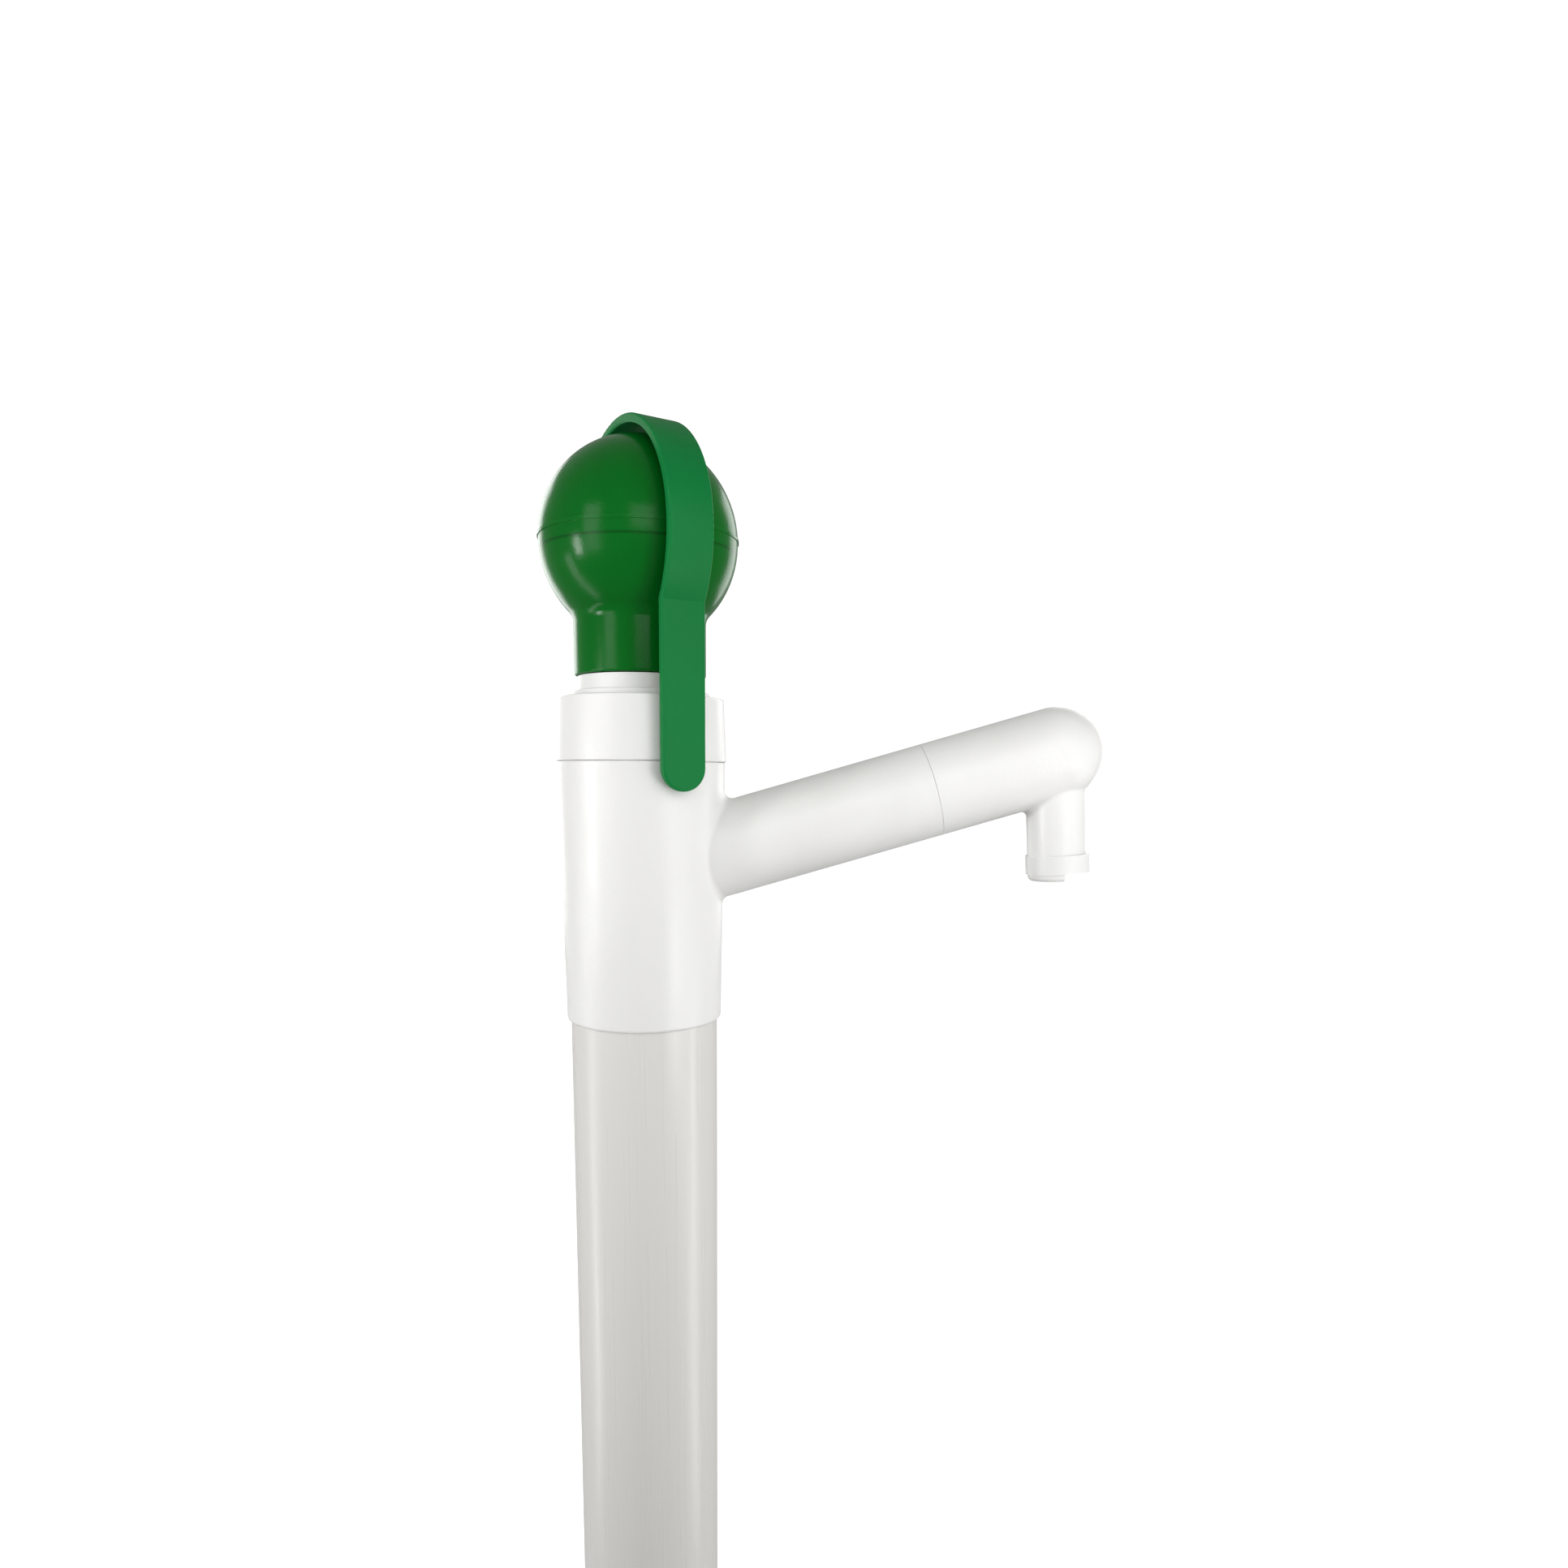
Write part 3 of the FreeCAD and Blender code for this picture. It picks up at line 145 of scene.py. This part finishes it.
def extruded_plastic(name, colour, shade, roughness):
    """Extruded pipe: long fine draw lines, a slight cast along its length and small scuffs."""
    finish = Finish(name, roughness)
    casts = finish.noise(14, 2, stretch=(1, 1, 5))
    finish.colour_from(finish.colours(casts, [(0.36, shade), (0.64, colour)]))
    draw_lines = finish.noise(420, 3, stretch=(1, 1, 60))
    finish.roughness_from(finish.between(draw_lines, 0.3, 0.7, roughness - 0.06, roughness + 0.06))
    finish.bump(draw_lines, 0.00003, 0.8)
    scuffs = finish.noise(70, 6, stretch=(1, 1, 0.5), offset=(0.9, 0.4, 0.2))
    finish.bump(finish.between(scuffs, 0.62, 0.75, 0.0, 1.0), 0.00003, 0.6)
    return finish.material


def pipe_plastic():
    return extruded_plastic("extruded_pipe", (0.71, 0.7, 0.672), (0.68, 0.668, 0.638), 0.3)


def rod_plastic():
    return extruded_plastic("extruded_rod", (0.66, 0.655, 0.64), (0.6, 0.595, 0.575), 0.36)


# The seam line is painted shade: a darker band just under the ball's seam bead, where the bead's shadow
# falls.
SEAM_HEIGHT = 0.9053
SEAM_WIDTH = 0.0009
SEAM_PAINTED_SHADE = 0.6


def painted_seam_shade(finish):
    """How strongly painted shade lies just under the bead where the ball's halves meet, standing in for the
    bead's shadow: at most the seam shade strength set above, 0 elsewhere.
    """
    axes = finish.nodes.new("ShaderNodeSeparateXYZ")
    finish.links.new(finish.place, axes.inputs["Vector"])
    below = finish.between(axes.outputs["Z"], SEAM_HEIGHT - SEAM_WIDTH, SEAM_HEIGHT, 0.0, SEAM_PAINTED_SHADE)
    above = finish.between(axes.outputs["Z"], SEAM_HEIGHT, SEAM_HEIGHT + SEAM_WIDTH / 2, 1.0, 0.0)
    both = finish.nodes.new("ShaderNodeMath")
    both.operation = "MULTIPLY"
    finish.links.new(below, both.inputs[0])
    finish.links.new(above, both.inputs[1])
    return both.outputs["Value"]


def green_plastic():
    """The ball's semi-gloss green plastic, with a dark line of painted shade just under the bead of its
    seam, standing in for the bead's shadow.
    """
    finish = Finish("moulded_green", 0.2)
    plastic = moulded_tone(finish, (0.0006, 0.132, 0.011), (0.0005, 0.114, 0.009), (0.006, 0.16, 0.018))
    # Colour of the painted shade line under the seam bead.
    painted_shade_colour = (0.0003, 0.03, 0.004)
    finish.colour_from(finish.mixed(painted_seam_shade(finish), plastic, painted_shade_colour))
    patches = finish.noise(90, 4, offset=(0.3, 0.1, 0.7))
    finish.roughness_from(finish.between(patches, 0.3, 0.7, 0.17, 0.24))
    finish.bump(finish.noise(900, 2), 0.00003)
    finish.shader.inputs["Specular IOR Level"].default_value = 0.14
    return finish.material


def clip_plastic():
    """The clip's lighter green plastic, less glossy than the ball's."""
    finish = moulded_plastic("moulded_light_green", (0.004, 0.19, 0.042), (0.0035, 0.17, 0.036),
                             (0.012, 0.25, 0.065), 0.42, 0.00004)
    finish.shader.inputs["Specular IOR Level"].default_value = 0.1
    return finish.material


def rubber():
    """Nitrile rubber: nearly black and dull, with a dusty bloom."""
    finish = Finish("nitrile_rubber", 0.72)
    bloom = finish.noise(120, 5)
    finish.colour_from(finish.colours(bloom, [(0.4, (0.012, 0.012, 0.013)), (0.7, (0.035, 0.034, 0.033))]))
    finish.roughness_from(finish.between(bloom, 0.3, 0.7, 0.6, 0.85))
    finish.bump(finish.noise(1500, 3), 0.00004)
    return finish.material


def turned_metal(name, colour, shade, roughness):
    """Turned metal: tool rings across the axis, a slight tarnish and bright edges."""
    finish = Finish(name, roughness, metallic=1.0)
    tarnish = finish.noise(200, 4)
    tone = finish.colours(tarnish, [(0.35, shade), (0.65, colour)])
    finish.colour_from(finish.mixed(finish.worn_edges(0.0003), tone, scaled(colour, 1.15)))
    tool_rings = finish.noise(2500, 2, stretch=(20, 20, 1))
    finish.roughness_from(finish.between(tool_rings, 0.3, 0.7, roughness - 0.06, roughness + 0.08))
    finish.bump(tool_rings, 0.00002, 0.7)
    return finish.material


def stainless():
    return turned_metal("turned_stainless", (0.62, 0.61, 0.59), (0.5, 0.49, 0.47), 0.26)


def brass_insert():
    return turned_metal("turned_brass", (0.72, 0.5, 0.22), (0.56, 0.37, 0.15), 0.3)


FINISHES = {
    "white_plastic": white_plastic,
    "pipe_plastic": pipe_plastic,
    "rod_plastic": rod_plastic,
    "green_plastic": green_plastic,
    "clip_plastic": clip_plastic,
    "rubber": rubber,
    "stainless": stainless,
    "brass_insert": brass_insert,
}


def paint_cad_nodes():
    """Give every CAD node the node material of its slot."""
    made = {slot: make() for slot, make in FINISHES.items()}
    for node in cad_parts.values():
        for place in node.material_slots:
            place.material = made[place.material.name]


# ---------------------------------------------------------------- studio

STAGE_RADIUS = 3.2
STAGE_CORNER = 0.9
STAGE_WALL = 7.0
STAGE_GLOW = 0.8


def stage_profile():
    """Radius and height along the stage: a floor that curves up into a wall."""
    points = [(0.0, 0.0), (STAGE_RADIUS - STAGE_CORNER, 0.0)]
    steps = 10
    for step in range(1, steps + 1):
        angle = math.pi / 2 * step / steps
        radius = STAGE_RADIUS - STAGE_CORNER + STAGE_CORNER * math.sin(angle)
        points.append((radius, STAGE_CORNER - STAGE_CORNER * math.cos(angle)))
    points.append((STAGE_RADIUS, STAGE_WALL))
    return points


def stage_material():
    """Pale painted board, slightly luminous so that it stays near white behind the pump."""
    finish = Finish("studio_board", 0.9)
    clouds = finish.noise(3, 2)
    finish.colour_from(finish.colours(clouds, [(0.3, (0.86, 0.86, 0.86)), (0.7, (0.9, 0.9, 0.9))]))
    finish.shader.inputs["Emission Color"].default_value = (1, 1, 1, 1)
    finish.shader.inputs["Emission Strength"].default_value = STAGE_GLOW
    return finish.material


def stage():
    """The floor and the round wall behind it. It lights nothing: the pump's shading comes from the lamps."""
    mesh = bpy.data.meshes.new("studio_floor")
    turned = bmesh.new()
    points = [turned.verts.new((radius, 0, height)) for radius, height in stage_profile()]
    lines = [turned.edges.new(pair) for pair in zip(points, points[1:])]
    bmesh.ops.spin(turned, geom=points + lines, cent=(0, 0, 0), axis=(0, 0, 1), angle=2 * math.pi, steps=96)
    bmesh.ops.remove_doubles(turned, verts=turned.verts, dist=1e-4)
    bmesh.ops.recalc_face_normals(turned, faces=turned.faces)
    turned.to_mesh(mesh)
    turned.free()
    for face in mesh.polygons:
        face.use_smooth = True
    floor = bpy.data.objects.new("studio_floor", mesh)
    bpy.context.scene.collection.objects.link(floor)
    floor.data.materials.append(stage_material())
    floor.visible_diffuse = False
    floor.visible_glossy = False
    floor.visible_shadow = False


ROOM_LIGHT = 0.34


def room_light():
    """Even light from all round."""
    world = bpy.data.worlds.new("studio")
    world.use_nodes = True
    background = world.node_tree.nodes["Background"]
    background.inputs["Color"].default_value = (1.0, 0.995, 0.985, 1)
    background.inputs["Strength"].default_value = ROOM_LIGHT
    bpy.context.scene.world = world


def soft_box(name, azimuth, distance, height, width, length, power, aim_height):
    """A softbox aimed at the pump axis. Its azimuth is in degrees from the front (-Y), towards +X."""
    lamp = bpy.data.lights.new(name, "AREA")
    lamp.shape = "RECTANGLE"
    lamp.size = width
    lamp.size_y = length
    lamp.energy = power
    holder = bpy.data.objects.new(name, lamp)
    turn = math.radians(azimuth)
    holder.location = (distance * math.sin(turn), -distance * math.cos(turn), height)
    aim = Vector((0, 0, aim_height)) - holder.location
    holder.rotation_euler = aim.to_track_quat("-Z", "Y").to_euler()
    holder.visible_camera = False
    bpy.context.scene.collection.objects.link(holder)


def lights():
    """A small key light on the left, tall strips that draw upright bands on the plastic, boxes near the
    head, and two large ones behind."""
    soft_box("left_key", -66, 0.75, 0.8, 0.11, 0.2, 1.7, 0.85)
    soft_box("right_strip", 66, 0.75, 0.85, 0.16, 0.8, 0.85, 0.85)
    soft_box("left_pipe_strip", -84, 0.55, 0.5, 0.1, 0.6, 0.8, 0.5)
    soft_box("right_pipe_strip", 84, 0.55, 0.42, 0.1, 0.5, 0.75, 0.42)
    soft_box("left_box", -45, 0.38, 0.93, 0.12, 0.3, 0.38, 0.85)
    soft_box("right_box", 40, 0.38, 0.93, 0.12, 0.3, 0.4, 0.85)
    soft_box("front_box", 10, 0.45, 1.02, 0.2, 0.2, 0.3, 0.85)
    soft_box("low_box", 50, 0.5, 0.68, 0.12, 0.12, 0.38, 0.84)
    soft_box("back_left_box", -145, 1.0, 1.0, 0.4, 0.8, 2.6, 0.6)
    soft_box("back_right_box", 145, 1.0, 1.0, 0.4, 0.8, 2.6, 0.6)


# ---------------------------------------------------------------- camera

IMAGE_SIZE = 1932
FOCAL_PIXELS = 1250
SENSOR_WIDTH = 36
LENS_SHIFT = 0.1
CAMERA_PLACE = Vector((0.0388, -0.346, 0.833))
CAMERA_PITCH = math.radians(-8.92)
CAMERA_YAW = math.radians(1.55)
CAMERA_ROLL = math.radians(0.53)


def camera():
    """Close to the pump's head and a little below the ball, looking slightly down along +Y."""
    lens = bpy.data.cameras.new("camera")
    lens.sensor_width = SENSOR_WIDTH
    lens.lens = FOCAL_PIXELS / IMAGE_SIZE * SENSOR_WIDTH
    lens.shift_y = LENS_SHIFT
    lens.clip_start = 0.01
    view = bpy.data.objects.new("camera", lens)
    ahead = Vector((math.sin(CAMERA_YAW) * math.cos(CAMERA_PITCH),
                    math.cos(CAMERA_YAW) * math.cos(CAMERA_PITCH),
                    math.sin(CAMERA_PITCH)))
    level = ahead.cross(Vector((0, 0, 1))).normalized()
    upright = level.cross(ahead)
    right = level * math.cos(CAMERA_ROLL) + upright * math.sin(CAMERA_ROLL)
    up = upright * math.cos(CAMERA_ROLL) - level * math.sin(CAMERA_ROLL)
    axes = Matrix((right, up, -ahead)).transposed().to_4x4()
    view.matrix_world = Matrix.Translation(CAMERA_PLACE) @ axes
    bpy.context.scene.collection.objects.link(view)
    bpy.context.scene.camera = view
    bpy.context.scene.view_settings.view_transform = "Standard"


paint_cad_nodes()
stage()
room_light()
lights()
camera()
